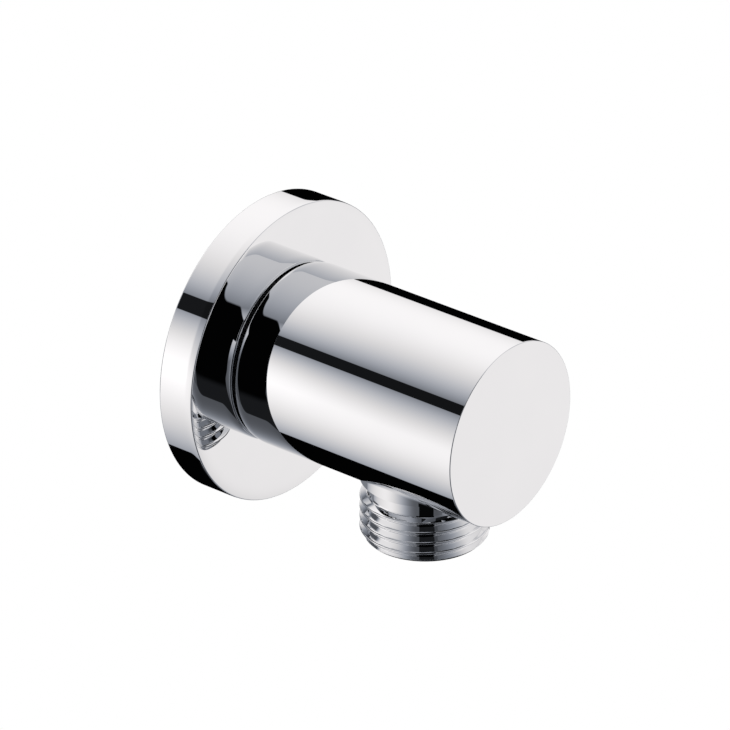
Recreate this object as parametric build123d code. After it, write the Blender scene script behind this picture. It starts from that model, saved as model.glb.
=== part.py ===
from build123d import *

import os
from math import radians, sqrt, tan

# Wall outlet elbow for a shower hose, in millimetres.
# The origin is the centre of the wall plane, on the axis of the inlet thread.
# +Z is up, -Y points out of the wall into the room, and the hose outlet points down.

# Wall flange
FLANGE_DIAMETER = 50.2
FLANGE_DEPTH = 6.7
FLANGE_WALL = 1.2
FLANGE_EDGE = 0.45  # broken edge round the face

# Elbow body
BODY_DIAMETER = 30.5
BODY_PROJECTION = 50.6  # wall plane to flat front face
BODY_FRONT_EDGE = 0.2
BODY_REAR_EDGE = 0.2
SHADOW_GAP = 0.35  # between the flange's face and the body's rear shoulder
SHOULDER_LAND = 1.35  # shoulder left outside the rubber ring's groove

# Collar inside the rubber ring, which centres the flange
COLLAR_TAIL = 1.1  # behind the flange's plate
COLLAR_CLEARANCE = 0.1

# Half-inch pipe threads, drawn plain at their crest
THREAD_DIAMETER = 20.8
THREAD_CHAMFER = 0.9
RELIEF_DEPTH = 1.15
INLET_REACH = 10.0  # thread behind the wall plane, short enough to hide behind the flange
INLET_RELIEF = 1.2  # width of the groove where the thread ends
OUTLET_SETBACK = 17.0  # outlet axis behind the body's front face
OUTLET_DROP = 8.25  # nipple below the body's underside
OUTLET_THREAD = 7.4
OUTLET_LEAD = 0.4  # height of the cone from the relief to the thread
OUTLET_RELIEF = 2.95  # width of the groove, which runs up into the body

# Waterways
INLET_BORE = 13.0
DRILL_POINT_ANGLE = 118.0
DRILL_OVERRUN = 0.6  # past the throat
THROAT_DIAMETER = 11.0
THROAT_LAND = 1.1  # metal between the inlet bore and the valve's shoulder
NIPPLE_WALL = 2.85
MOUTH_CHAMFER = 0.3

# Rubber rings
RING_CLEARANCE = 0.02

# Rubber ring between the body's shoulder and the flange
FLANGE_RING_HEIGHT = 1.5
FLANGE_RING_WIDTH = 1.7
FLANGE_RING_CLEARANCE = 0.1

# Valve cartridge: sleeve with the seat
VALVE_CLEARANCE = 0.05
SLEEVE_LENGTH = 4.2
SLEEVE_LIP = 1.4
SLEEVE_WALL = 1.7
GROOVE_WIDTH = 1.9
GROOVE_DEPTH = 1.2
GROOVE_CLEARANCE = 0.1
SKIRT_LENGTH = 1.4
SEAT_DEPTH = 1.2

# Valve cartridge: cage with the spoked guide
CAGE_WALL = 1.0
CAGE_LIP = 0.65
CAGE_FIT = 0.05
MOUTH_RECESS = 1.5
SPOKE_COUNT = 4
SPOKE_WIDTH = 1.2
SPOKE_HEIGHT = 1.6
HUB_DIAMETER = 4.8
HUB_CLEARANCE = 0.5  # left below the open poppet

# Valve cartridge: poppet, seal and spring
POPPET_TRAVEL = 3.0
HEAD_THICKNESS = 1.0
FLOW_GAP = 1.1
NOSE_GAP = 0.25
NOSE_LAND = 0.6
NOSE_HEIGHT = 2.2
NOSE_TIP_DIAMETER = 3.0
STEM_DIAMETER = 2.54
STEM_CLEARANCE = 0.08
GUIDED_LENGTH = 1.6
SEAL_SECTION = 1.3
SEAL_CORNER = 0.38  # cut off the corner that meets the seat
SEAL_CLEARANCE = 0.08
SPRING_WIRE = 0.5
WIRE_SIDES = 4  # of the wire's section
SPRING_GAP = 0.5  # round the hub
SPRING_TURNS = 3
SPRING_SEAT_CLEARANCE = 0.03

# Radii and stations along the inlet axis, measured from the wall plane into the room
flange_r = FLANGE_DIAMETER / 2
body_r = BODY_DIAMETER / 2
ring_groove_r = body_r - SHOULDER_LAND
ring_outer_r = ring_groove_r - FLANGE_RING_CLEARANCE
ring_inner_r = ring_outer_r - FLANGE_RING_WIDTH
collar_r = ring_inner_r - FLANGE_RING_CLEARANCE
thread_r = THREAD_DIAMETER / 2
relief_r = thread_r - RELIEF_DEPTH
inlet_r = INLET_BORE / 2
throat_r = THROAT_DIAMETER / 2
plate_back = FLANGE_DEPTH - FLANGE_WALL
collar_back = plate_back - COLLAR_TAIL
shoulder = FLANGE_DEPTH + SHADOW_GAP
ring_floor = FLANGE_DEPTH + FLANGE_RING_HEIGHT
outlet_station = BODY_PROJECTION - OUTLET_SETBACK

# Radii and heights along the outlet axis
nipple_end = -(body_r + OUTLET_DROP)
thread_top = nipple_end + OUTLET_THREAD
relief_top = thread_top + OUTLET_RELIEF
valve_r = thread_r - NIPPLE_WALL
valve_top = -(inlet_r + THROAT_LAND)
sleeve_r = valve_r - VALVE_CLEARANCE
groove_r = sleeve_r - GROOVE_DEPTH
groove_top = valve_top - SLEEVE_LIP
groove_bottom = groove_top - GROOVE_WIDTH
passage_r = groove_r - SLEEVE_WALL
skirt_top = valve_top - SLEEVE_LENGTH
sleeve_bottom = skirt_top - SKIRT_LENGTH
seat_top = sleeve_bottom + SEAT_DEPTH
socket_r = sleeve_r - CAGE_LIP
cage_inner_r = sleeve_r - CAGE_WALL
cage_bottom = nipple_end + MOUTH_RECESS
spoke_top = cage_bottom + SPOKE_HEIGHT
seal_r = SEAL_SECTION / 2
seal_z = seat_top - sqrt(2) * (seal_r + SEAL_CLEARANCE)
stem_r = STEM_DIAMETER / 2
hub_r = HUB_DIAMETER / 2
hub_bore_r = stem_r + STEM_CLEARANCE
seal_groove_top = seal_z + seal_r + RING_CLEARANCE
seal_groove_bottom = seal_z - seal_r - RING_CLEARANCE
head_bottom = seal_groove_bottom - HEAD_THICKNESS
hub_top = head_bottom - POPPET_TRAVEL - HUB_CLEARANCE
stem_end = hub_top - GUIDED_LENGTH

# Frames of the two axes: the inlet's runs out of the wall, the outlet's runs up
inlet_axis = Plane.XZ.location
outlet_axis = Location((0, -outlet_station, 0))


def turned(*corners):
    """Revolve a closed outline of (radius, height) corners about Z."""
    points = [(radius, 0, height) for radius, height in corners]
    outline = Polyline(*points, close=True)
    return revolve(make_face(outline), Axis.Z)


def rubber_ring(inner, outer, bottom, top):
    """Rubber ring, drawn as its groove squeezes it."""
    return turned((inner, bottom), (outer, bottom), (outer, top), (inner, top))


def make_elbow_body():
    """Brass elbow: round body with collar and inlet spigot, outlet nipple and drilled waterways."""
    body = turned(
        (0, -INLET_REACH),
        (thread_r - THREAD_CHAMFER, -INLET_REACH),
        (thread_r, THREAD_CHAMFER - INLET_REACH),
        (thread_r, collar_back - INLET_RELIEF),
        (relief_r, collar_back - INLET_RELIEF),
        (relief_r, collar_back),
        (collar_r, collar_back),
        (collar_r, ring_floor),
        (ring_groove_r, ring_floor),
        (ring_groove_r, shoulder),
        (body_r - BODY_REAR_EDGE, shoulder),
        (body_r, shoulder + BODY_REAR_EDGE),
        (body_r, BODY_PROJECTION - BODY_FRONT_EDGE),
        (body_r - BODY_FRONT_EDGE, BODY_PROJECTION),
        (0, BODY_PROJECTION),
    )
    nipple = turned(
        (0, nipple_end),
        (thread_r - THREAD_CHAMFER, nipple_end),
        (thread_r, nipple_end + THREAD_CHAMFER),
        (thread_r, thread_top),
        (relief_r, thread_top + OUTLET_LEAD),
        (relief_r, relief_top),
        (thread_r, relief_top),
        (thread_r, 0),
        (0, 0),
    )
    drill_end = outlet_station + throat_r + DRILL_OVERRUN
    drill_tip = drill_end + inlet_r / tan(radians(DRILL_POINT_ANGLE / 2))
    inlet_drilling = turned(
        (0, -INLET_REACH),
        (inlet_r, -INLET_REACH),
        (inlet_r, drill_end),
        (0, drill_tip),
    )
    outlet_drilling = turned(
        (0, nipple_end),
        (valve_r + MOUTH_CHAMFER, nipple_end),
        (valve_r, nipple_end + MOUTH_CHAMFER),
        (valve_r, valve_top),
        (throat_r, valve_top),
        (throat_r, 0),
        (0, 0),
    )
    solid = inlet_axis * body + outlet_axis * nipple
    return solid - inlet_axis * inlet_drilling - outlet_axis * outlet_drilling


def make_wall_flange():
    """Flat-faced cup, open towards the wall, with a hole that fits the body's collar."""
    hole_r = collar_r + COLLAR_CLEARANCE
    return inlet_axis * turned(
        (hole_r, plate_back),
        (hole_r, FLANGE_DEPTH),
        (flange_r - FLANGE_EDGE, FLANGE_DEPTH),
        (flange_r, FLANGE_DEPTH - FLANGE_EDGE),
        (flange_r, 0),
        (flange_r - FLANGE_WALL, 0),
        (flange_r - FLANGE_WALL, plate_back),
    )


def make_flange_o_ring():
    """Ring in the shoulder's groove, pressed between the groove's floor and the flange."""
    return inlet_axis * rubber_ring(ring_inner_r, ring_outer_r, FLANGE_DEPTH, ring_floor)


def make_valve_sleeve():
    """Inlet half of the cartridge: ring groove outside, waterway and conical seat inside."""
    skirt_r = socket_r - CAGE_FIT
    return outlet_axis * turned(
        (passage_r, valve_top),
        (sleeve_r, valve_top),
        (sleeve_r, groove_top),
        (groove_r, groove_top),
        (groove_r, groove_bottom),
        (sleeve_r, groove_bottom),
        (sleeve_r, skirt_top),
        (skirt_r, skirt_top),
        (skirt_r, sleeve_bottom),
        (passage_r + SEAT_DEPTH, sleeve_bottom),
        (passage_r, seat_top),
    )


def make_valve_o_ring():
    """Ring in the sleeve's groove, squeezed against the outlet bore."""
    return outlet_axis * rubber_ring(
        groove_r + RING_CLEARANCE,
        valve_r - RING_CLEARANCE,
        groove_bottom + GROOVE_CLEARANCE,
        groove_top - GROOVE_CLEARANCE,
    )


def make_valve_cage():
    """Outlet half of the cartridge: a ring with a guide hub on spokes."""
    ring = turned(
        (cage_inner_r, cage_bottom),
        (sleeve_r, cage_bottom),
        (sleeve_r, skirt_top),
        (socket_r, skirt_top),
        (socket_r, sleeve_bottom),
        (cage_inner_r, sleeve_bottom),
    )
    hub = turned(
        (hub_bore_r, cage_bottom),
        (hub_r, cage_bottom),
        (hub_r, hub_top),
        (hub_bore_r, hub_top),
    )
    spoke_start = (hub_bore_r + hub_r) / 2
    spoke_end = (cage_inner_r + sleeve_r) / 2
    spoke_length = spoke_end - spoke_start
    spoke_middle = Location((spoke_start + spoke_length / 2, 0, cage_bottom + SPOKE_HEIGHT / 2))
    spoke = spoke_middle * Box(spoke_length, SPOKE_WIDTH, SPOKE_HEIGHT)
    turns = PolarLocations(0, SPOKE_COUNT)
    spokes = [turn * spoke for turn in turns]
    return outlet_axis * (ring + hub + spokes)


def make_valve_poppet():
    """Moving plug: streamlined nose, groove for its seal, round head and guide stem."""
    seal_floor_r = passage_r - seal_r - RING_CLEARANCE
    nose_r = passage_r - NOSE_GAP
    nose_base = seal_groove_top + NOSE_LAND
    return outlet_axis * turned(
        (0, stem_end),
        (stem_r, stem_end),
        (stem_r, head_bottom),
        (cage_inner_r - FLOW_GAP, head_bottom),
        (cage_inner_r - FLOW_GAP, seal_groove_bottom),
        (seal_floor_r, seal_groove_bottom),
        (seal_floor_r, seal_groove_top),
        (nose_r, seal_groove_top),
        (nose_r, nose_base),
        (NOSE_TIP_DIAMETER / 2, nose_base + NOSE_HEIGHT),
        (0, nose_base + NOSE_HEIGHT),
    )


def make_poppet_seal():
    """Rubber ring on the plug, which meets the sleeve's conical seat."""
    seal_inner_r = passage_r - seal_r
    seal_outer_r = passage_r + seal_r
    return outlet_axis * turned(
        (seal_inner_r, seal_z - seal_r),
        (seal_outer_r, seal_z - seal_r),
        (seal_outer_r, seal_z + seal_r - SEAL_CORNER),
        (seal_outer_r - SEAL_CORNER, seal_z + seal_r),
        (seal_inner_r, seal_z + seal_r),
    )


def make_valve_spring():
    """Coil spring round the guide hub, from the spokes up to the poppet's head."""
    wire_r = SPRING_WIRE / 2
    coil_r = hub_r + SPRING_GAP + wire_r
    bottom = spoke_top + SPRING_SEAT_CLEARANCE + wire_r
    top = head_bottom - SPRING_SEAT_CLEARANCE - wire_r
    path = Helix((top - bottom) / SPRING_TURNS, top - bottom, coil_r, center=(0, 0, bottom))
    section = Plane(path @ 0, z_dir=path % 0) * RegularPolygon(wire_r, WIRE_SIDES)
    return outlet_axis * sweep(section, path, is_frenet=True)


MAKERS = {
    "elbow_body": make_elbow_body,
    "wall_flange": make_wall_flange,
    "flange_o_ring": make_flange_o_ring,
    "valve_sleeve": make_valve_sleeve,
    "valve_o_ring": make_valve_o_ring,
    "valve_cage": make_valve_cage,
    "valve_poppet": make_valve_poppet,
    "poppet_seal": make_poppet_seal,
    "valve_spring": make_valve_spring,
}

os.makedirs("parts", exist_ok=True)
for node, maker in MAKERS.items():
    export_step(maker(), f"parts/{node}.step")
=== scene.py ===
"""Wall outlet elbow for a shower hose: the visual model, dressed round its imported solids.

Sizes are in metres, in the solids' own frame. The origin is the centre of the wall plane, +Z is up,
the body stands out of the wall along -Y, and the hose nipple points down.
"""

import logging
import math
from dataclasses import dataclass
from enum import Enum

import bpy
import numpy as np
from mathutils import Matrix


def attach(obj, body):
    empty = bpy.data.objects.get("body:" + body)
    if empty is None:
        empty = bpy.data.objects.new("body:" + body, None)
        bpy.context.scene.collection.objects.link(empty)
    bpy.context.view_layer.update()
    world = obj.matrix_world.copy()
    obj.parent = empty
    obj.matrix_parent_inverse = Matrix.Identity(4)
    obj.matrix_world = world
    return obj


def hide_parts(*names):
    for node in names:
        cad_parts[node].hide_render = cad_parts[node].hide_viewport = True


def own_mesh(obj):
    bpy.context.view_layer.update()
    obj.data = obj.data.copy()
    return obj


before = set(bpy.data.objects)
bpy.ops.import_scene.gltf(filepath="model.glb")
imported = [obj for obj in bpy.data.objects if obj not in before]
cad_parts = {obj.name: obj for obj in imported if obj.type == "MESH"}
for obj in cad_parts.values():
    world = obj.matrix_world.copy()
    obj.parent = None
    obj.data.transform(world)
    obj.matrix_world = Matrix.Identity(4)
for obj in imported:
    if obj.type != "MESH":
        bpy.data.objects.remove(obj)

LOG = logging.getLogger("outlet_elbow")
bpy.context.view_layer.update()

MM = 0.001
TAU = 2.0 * math.pi
WELD = 1e-6  # points closer than this are one vertex
WELD_OFFSET = 0.37  # keeps round sizes away from the edges of the welding grid
ARC_STEP = math.radians(9.0)  # of a rounded edge
ARC_STEPS = 10  # of a buffed corner's rounding
BUFF_STEPS = 14  # of its roll-off
SLOPE_STEP = 1e-7  # for slopes taken by difference
HALF_TURN = 180.0  # degrees
WHITE = (1.0, 1.0, 1.0, 1.0)
NOISE_SPAN = (0.3, 0.7)  # of the noise, spread over a finish's whole variation
WIRE_MAP = "wire"

Vector3 = tuple[float, float, float]
Limits = tuple[float, float, float, float]
Socket = bpy.types.NodeSocket
Value = float | Vector3 | Socket


class Body(Enum):
    """Moving bodies of the solid model."""

    ELBOW = "outlet_elbow"
    POPPET = "check_poppet"


class Slot(Enum):
    """Material slots of the record."""

    CHROME = "polished_chrome"
    RUBBER = "seal_rubber"
    WHITE_PLASTIC = "valve_plastic"
    BLUE_PLASTIC = "poppet_plastic"
    STEEL = "spring_steel"


# Surfaces


@dataclass(frozen=True)
class Spindle:
    """Right-handed frame of a turning axis."""

    origin: Vector3
    across: Vector3
    aside: Vector3
    along: Vector3

    def aim(self, x: np.ndarray, y: np.ndarray, z: np.ndarray) -> np.ndarray:
        """Direction x across, y aside and z along the spindle, in the solids' frame.

        Args:
            x, y, z: arrays that fit one another's shapes.

        Returns:
            Array of that shape with the three parts last.
        """
        x, y, z = np.broadcast_arrays(x, y, z)
        return (
            np.multiply.outer(x, self.across)
            + np.multiply.outer(y, self.aside)
            + np.multiply.outer(z, self.along)
        )

    def place(self, x: np.ndarray, y: np.ndarray, z: np.ndarray) -> np.ndarray:
        """Point x across, y aside and z along the spindle, in the solids' frame."""
        return self.aim(x, y, z) + np.array(self.origin)

    def aim_round(self, out: np.ndarray, angles: np.ndarray, up: np.ndarray) -> np.ndarray:
        """Direction (out * cos, out * sin, up): out from the spindle at an angle, and up along it."""
        return self.aim(out * np.cos(angles), out * np.sin(angles), up)

    def place_round(self, radius: np.ndarray, angles: np.ndarray, height: np.ndarray) -> np.ndarray:
        """Point at a radius and an angle round the spindle, and at a height along it."""
        return self.aim_round(radius, angles, height) + np.array(self.origin)


OUTLET_STATION = 33.6 * MM  # hose nipple's axis, out from the wall
INLET = Spindle((0.0, 0.0, 0.0), (1.0, 0.0, 0.0), (0.0, 0.0, 1.0), (0.0, -1.0, 0.0))
OUTLET = Spindle((0.0, -OUTLET_STATION, 0.0), (1.0, 0.0, 0.0), (0.0, 1.0, 0.0), (0.0, 0.0, 1.0))


@dataclass(frozen=True)
class Patch:
    """Grid of points, rows by columns, with the surface's outward normal at each."""

    points: np.ndarray
    normals: np.ndarray


@dataclass(frozen=True)
class Buff:
    """Roll-off that a polishing wheel leaves on one side of an edge."""

    reach: float = 0.0  # how far from the edge it starts
    slope: float = 0.0  # at the edge


@dataclass(frozen=True)
class Corner:
    """Corner of a turned outline."""

    radius: float
    height: float
    rounding: float = 0.0  # radius that rounds it off
    before: Buff = Buff()  # roll-off of the side that leads to it
    after: Buff = Buff()  # roll-off of the side that leaves it

    def is_buffed(self) -> bool:
        """Whether either side rolls off."""
        return self.before.reach > 0.0 or self.after.reach > 0.0


@dataclass(frozen=True)
class Stretch:
    """Straight or round stretch of an outline: its points, and its normal's two shares."""

    radius: np.ndarray
    height: np.ndarray
    out: np.ndarray
    up: np.ndarray


def circle(columns: int, start: float = 0.0, sweep: float = TAU) -> np.ndarray:
    """Evenly spaced angles from start through sweep, both ends included."""
    return start + sweep * np.linspace(0.0, 1.0, columns + 1)


def straight(start: np.ndarray, end: np.ndarray) -> Stretch:
    """Straight stretch of an outline with the metal on its left.

    The normal is the direction turned right: (rise, -run).

    Args:
        start, end: (radius, height) of its ends.

    Returns:
        The stretch.
    """
    way = (end - start) / np.hypot(*(end - start))
    points = np.stack([start, end])
    return Stretch(points[:, 0], points[:, 1], np.full(2, way[1]), np.full(2, -way[0]))


def buffed(corner: Corner, before: np.ndarray, after: np.ndarray) -> Stretch:
    """Square corner whose sides were rolled off by the polishing wheel.

    A side's slope grows with the square of the distance from the far end of its reach, so its drop grows
    with the cube. An arc joins the last slopes of the two sides.

    Args:
        corner: the corner.
        before, after: directions of its two sides.

    Returns:
        The corner's stretch.
    """
    buffs = (corner.before, corner.after)
    tilts = [math.atan(buff.slope) for buff in buffs]
    thirds = [buff.slope / 3.0 for buff in buffs]
    size = corner.rounding
    alone = []
    for index, buff in enumerate(buffs):
        room = size * (math.cos(tilts[1 - index]) - math.sin(tilts[index]))
        alone.append(thirds[index] * (buff.reach - room))
    both = 1.0 - thirds[0] * thirds[1]
    drops = [(alone[index] - thirds[index] * alone[1 - index]) / both for index in (0, 1)]
    middle = [drops[index] + size * math.cos(tilts[index]) for index in (0, 1)]
    arc_tilt = np.linspace(math.pi / 2.0 - tilts[0], tilts[1], ARC_STEPS + 1)
    along = [middle[0] - size * np.sin(arc_tilt)]
    back = [middle[1] - size * np.cos(arc_tilt)]
    tilt = [arc_tilt]
    near = np.linspace(0.0, 1.0, BUFF_STEPS + 1)[:-1]
    if corner.before.reach:
        run = corner.before.reach - back[0][0]
        along.insert(0, drops[0] * near**3)
        back.insert(0, corner.before.reach - run * near)
        tilt.insert(0, math.pi / 2.0 - np.arctan(corner.before.slope * near**2))
    if corner.after.reach:
        run = corner.after.reach - along[-1][-1]
        along.append((corner.after.reach - run * near)[::-1])
        back.append((drops[1] * near**3)[::-1])
        tilt.append(np.arctan(corner.after.slope * near**2)[::-1])
    turn = np.concatenate(tilt)
    spot = np.array([corner.radius, corner.height])
    points = spot + np.outer(np.concatenate(along), after) - np.outer(np.concatenate(back), before)
    normals = np.outer(np.cos(turn), before) - np.outer(np.sin(turn), after)
    return Stretch(points[:, 0], points[:, 1], normals[:, 0], normals[:, 1])


def rounded(corner: Corner, before: np.ndarray, after: np.ndarray) -> Stretch:
    """Corner rounded off by an arc that touches both its sides.

    It starts rounding * tan(turn / 2) before the corner, and its normal turns evenly from one side's
    normal to the other's.

    Args:
        corner: the corner.
        before, after: directions of its two sides.

    Returns:
        The corner's stretch.
    """
    turn = math.atan2(before[0] * after[1] - before[1] * after[0], before @ after)
    reach = corner.rounding * math.tan(abs(turn) / 2.0)
    start = np.array([corner.radius, corner.height]) - reach * before
    bulge = math.copysign(corner.rounding, turn)
    steps = max(2, math.ceil(abs(turn) / ARC_STEP))
    heading = math.atan2(-before[0], before[1]) + turn * np.linspace(0.0, 1.0, steps + 1)
    out = np.cos(heading)
    up = np.sin(heading)
    return Stretch(start[0] + bulge * (out - out[0]), start[1] + bulge * (up - up[0]), out, up)


def trace(corners: list[Corner], closed: bool = False) -> list[Stretch]:
    """Straight and round stretches of an outline with the metal on its left.

    Args:
        corners: the outline's corners in order.
        closed: whether it runs back to its first corner.

    Returns:
        The stretches in order.
    """
    spots = np.array([(corner.radius, corner.height) for corner in corners])
    count = len(corners)
    arcs: list[Stretch | None] = []
    leaves = spots.copy()
    joins = spots.copy()
    for index, corner in enumerate(corners):
        arcs.append(None)
        at_end = not closed and index in (0, count - 1)
        if corner.rounding == 0.0 or at_end:
            continue
        before = spots[index] - spots[index - 1]
        after = spots[(index + 1) % count] - spots[index]
        before = before / np.hypot(*before)
        after = after / np.hypot(*after)
        arc = buffed(corner, before, after) if corner.is_buffed() else rounded(corner, before, after)
        joins[index] = (arc.radius[0], arc.height[0])
        leaves[index] = (arc.radius[-1], arc.height[-1])
        arcs[index] = arc
    stretches: list[Stretch] = []
    for index in range(count):
        if arcs[index] is not None:
            stretches.append(arcs[index])
        following = (index + 1) % count
        if index == count - 1 and not closed:
            break
        if np.hypot(*(joins[following] - leaves[index])) > WELD:
            stretches.append(straight(leaves[index], joins[following]))
    return stretches


def turned(spindle: Spindle, stretch: Stretch, angles: np.ndarray) -> Patch:
    """Stretch of an outline carried round a spindle: (radius * cos, radius * sin, height).

    Args:
        spindle: axis to turn about.
        stretch: piece of the outline, one row per point.
        angles: one column per angle.

    Returns:
        The turned grid.
    """
    return Patch(
        spindle.place_round(stretch.radius[:, None], angles, stretch.height[:, None]),
        spindle.aim_round(stretch.out[:, None], angles, stretch.up[:, None]),
    )


def lathe(
    spindle: Spindle, corners: list[Corner], angles: np.ndarray, closed: bool = False
) -> list[Patch]:
    """Whole outline turned about a spindle, one grid per stretch."""
    return [turned(spindle, stretch, angles) for stretch in trace(corners, closed)]


def hoop(
    low: tuple[float, float], high: tuple[float, float], inner_round: float, outer_round: float
) -> list[Corner]:
    """Outline of a moulded ring.

    Args:
        low, high: radius and height of its inner low corner and of its outer high corner.
        inner_round, outer_round: rounding of its inner and its outer edges.

    Returns:
        The ring's four corners.
    """
    return [
        Corner(low[0], low[1], inner_round),
        Corner(high[0], low[1], outer_round),
        Corner(high[0], high[1], outer_round),
        Corner(low[0], high[1], inner_round),
    ]


def drum(
    spindle: Spindle,
    radius: float,
    low: np.ndarray,
    high: np.ndarray,
    angles: np.ndarray,
    rows: int = 1,
    inside: bool = False,
) -> Patch:
    """Round wall between two edges: height runs evenly from low to high at each angle.

    Args:
        spindle: its axis.
        radius: of the wall.
        low, high: heights of its two edges, each one number or one per angle.
        angles: one column per angle.
        rows: steps from edge to edge.
        inside: whether it is the wall of a hole.

    Returns:
        The wall's grid.
    """
    share = np.linspace(0.0, 1.0, rows + 1)[:, None]
    side = -1.0 if inside else 1.0
    height = np.add(low, share * np.subtract(high, low)) + 0.0 * angles
    points = spindle.place_round(radius, angles, height)
    return Patch(points, spindle.aim_round(side, angles, 0.0 * height))


def flat(spindle: Spindle, x: np.ndarray, y: np.ndarray, height: float, up: float) -> Patch:
    """Flat grid across a spindle, which faces along it where up is 1 and back where up is -1."""
    return Patch(spindle.place(x, y, height), spindle.aim(0.0 * x, 0.0 * y, up))


def ring(
    spindle: Spindle,
    height: float,
    inner: tuple[np.ndarray, np.ndarray],
    outer: tuple[np.ndarray, np.ndarray],
    up: float,
) -> Patch:
    """Flat ring between two edges that may have different numbers of points.

    The edges are zipped: going round, each step moves on along the edge whose next point comes first.

    Args:
        spindle: its axis.
        height: of the ring along the spindle.
        inner, outer: radii and angles of its edges.
        up: 1 where it faces along the spindle, -1 where it faces back.

    Returns:
        The ring's grid of two rows.
    """
    middles = [0.5 * (angles[1:] + angles[:-1]) for _, angles in (inner, outer)]
    order = np.argsort(np.concatenate(middles), kind="stable")
    on_inner = order < len(middles[0])
    x = []
    y = []
    for (radius, angles), moves in ((inner, on_inner), (outer, ~on_inner)):
        index = np.concatenate([[0], np.cumsum(moves)])
        x.append((radius * np.cos(angles))[index])
        y.append((radius * np.sin(angles))[index])
    return flat(spindle, np.stack(x), np.stack(y), height, up)


def square(points: int) -> tuple[np.ndarray, np.ndarray]:
    """Points evenly round a square of half-width 1, from the middle of its +x side.

    Args:
        points: how many steps.

    Returns:
        The points' x and y, both ends included.
    """
    angle = circle(points)
    x = np.clip(np.arcsin(np.cos(angle)) * 4.0 / math.pi, -1.0, 1.0)
    y = np.clip(np.arcsin(np.sin(angle)) * 4.0 / math.pi, -1.0, 1.0)
    return x, y


@dataclass(frozen=True)
class PiercedWall:
    """Round wall about the inlet axis with a hole below, where the outlet meets it.

    Beyond a square window round the hole, the wall is a plain grid. In the window, rows run straight from
    the hole's edge to the window's edge, in the angle from straight down and the distance along the wall.
    """

    radius: float
    columns: int
    half_angle: float  # of the window, round the wall
    half_length: float  # of the window, along the wall
    rows: int  # from the hole's edge to the window's
    inside: bool  # whether it is the wall of a bore

    def reach(self) -> tuple[float, float]:
        """Distances from the wall plane at which the window starts and ends."""
        return OUTLET_STATION - self.half_length, OUTLET_STATION + self.half_length

    def angles(self) -> np.ndarray:
        """Angles of the wall's columns, from one side of the window right round."""
        return circle(self.columns, -math.pi / 2.0 - self.half_angle)

    def patches(self, hole_x: np.ndarray, hole_y: np.ndarray) -> list[Patch]:
        """Grids of the wall over the window's length.

        Args:
            hole_x, hole_y: the hole's edge along the outlet axis, its points spread as the window's are.

        Returns:
            The window's grid, and that of the wall beside it.
        """
        side = -1.0 if self.inside else 1.0
        across, along = square(len(hole_x) - 1)
        share = np.linspace(0.0, 1.0, self.rows + 1)[:, None]
        hole_angle = np.arcsin(hole_x / self.radius)
        lean = hole_angle + share * (self.half_angle * across - hole_angle)
        y = hole_y + share * (self.half_length * along - hole_y)
        out = (np.sin(lean), -np.cos(lean))
        window = Patch(
            INLET.place(self.radius * out[0], self.radius * out[1], OUTLET_STATION - y),
            INLET.aim(side * out[0], side * out[1], 0.0 * y),
        )
        per_side = (len(hole_x) - 1) // 4
        rest = self.angles()[per_side:]
        beside = drum(INLET, self.radius, *self.reach(), rest, per_side, self.inside)
        return [window, beside]


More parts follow.
